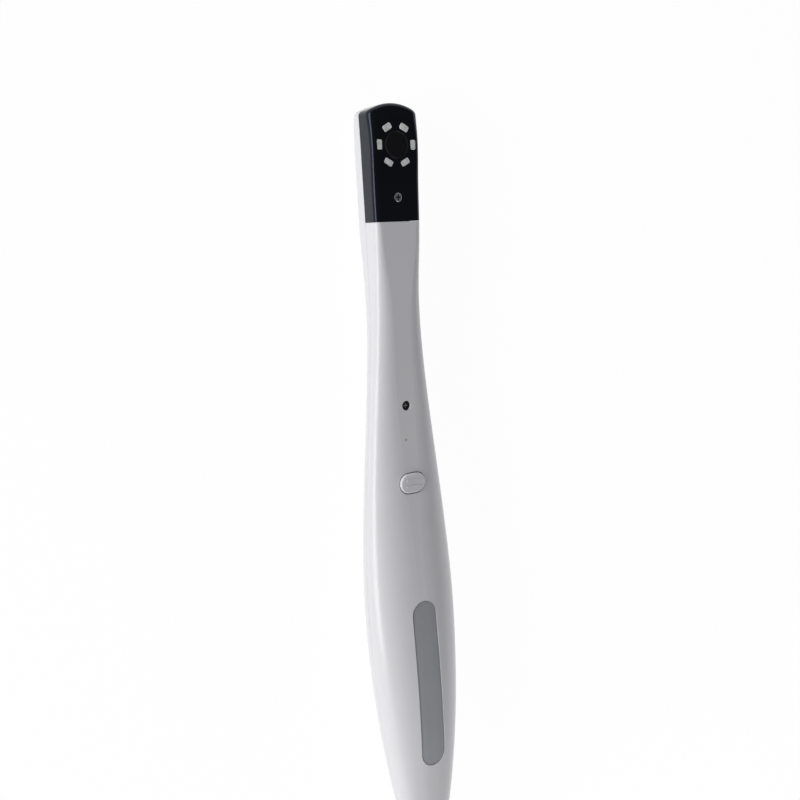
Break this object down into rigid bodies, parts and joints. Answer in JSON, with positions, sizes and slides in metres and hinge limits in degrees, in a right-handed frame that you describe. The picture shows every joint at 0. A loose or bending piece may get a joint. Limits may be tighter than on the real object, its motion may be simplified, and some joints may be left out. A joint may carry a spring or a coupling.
{
  "type": "intraoral camera",
  "caption": "Slim handheld dental camera wand with a square black camera head, ring of lamps round the lens, oval capture button and a grip that swells toward the tail.",
  "frame": {"origin": "on the surface that the wand lies on, under the middle of its length and width", "axes": "+Y along the wand toward the head, +Z out of the front face that holds the lens and the button, +X across"},
  "size_m": [0.0278, 0.2134, 0.0192],
  "materials": {
    "white_shell": "smooth glossy moulded plastic",
    "black_cover": "polished black moulded plastic",
    "dark_window": "dark polished window",
    "milky_guide": "milky clear plastic",
    "bright_steel": "plated steel",
    "black_steel": "black oxide steel",
    "white_button": "glossy moulded plastic",
    "grey_label": "satin grey inlay",
    "clear_pipe": "clear light pipe",
    "lamp": "lamp body with yellow phosphor",
    "board": "green solder mask",
    "contact_brass": "plated contact",
    "black_metal": "black anodised",
    "black_plastic": "matt black moulded plastic",
    "optical_glass": "coated lens glass",
    "filter_glass": "blue green filter glass",
    "chip": "chip package",
    "tin": "tinned sheet metal",
    "ceramic_chip": "ceramic body",
    "flex": "amber film",
    "ivory_plastic": "moulded connector body",
    "wire": "insulated wire"
  },
  "bodies": {
    "housing": {"board_capacitors": "ceramic_chip", "board_screws": "bright_steel", "body_screw": "black_steel", "contact_pin_1": "contact_brass", "contact_pin_2": "contact_brass", "contact_pin_3": "contact_brass", "contact_pin_4": "contact_brass", "contact_pin_5": "contact_brass", "flex_cable": "flex", "flex_connector": "ivory_plastic", "front_lens": "optical_glass", "front_shell": "white_shell", "head_cover": "black_cover", "head_screw": "bright_steel", "image_processor": "chip", "image_sensor": "chip", "indicator_led": "lamp", "indicator_light_pipe": "clear_pipe", "inlet_barrel": "bright_steel", "inlet_insulator": "black_plastic", "inlet_wires": "wire", "ir_filter": "filter_glass", "label_plate": "grey_label", "led_1": "lamp", "led_2": "lamp", "led_3": "lamp", "led_4": "lamp", "led_5": "lamp", "led_6": "lamp", "led_board": "board", "led_leads": "contact_brass", "lens_barrel": "black_metal", "lens_holder": "black_plastic", "lens_window": "dark_window", "light_guide": "milky_guide", "main_board": "board", "memory_chip": "chip", "oscillator": "tin", "rear_lens": "optical_glass", "rear_shell": "white_shell", "sensor_board": "board", "switch_dome": "tin", "switch_housing": "black_plastic", "switch_plate": "tin", "wire_header": "ivory_plastic"},
    "button": {"capture_button": "white_button", "switch_plunger": "black_plastic"}
  },
  "joints": [
    {"name": "button_press", "type": "slide", "parent": "housing", "child": "button", "axis": [0, 0, -1], "range_m": [0, 0.0005], "stiffness_N_per_m": 1500}
  ]
}
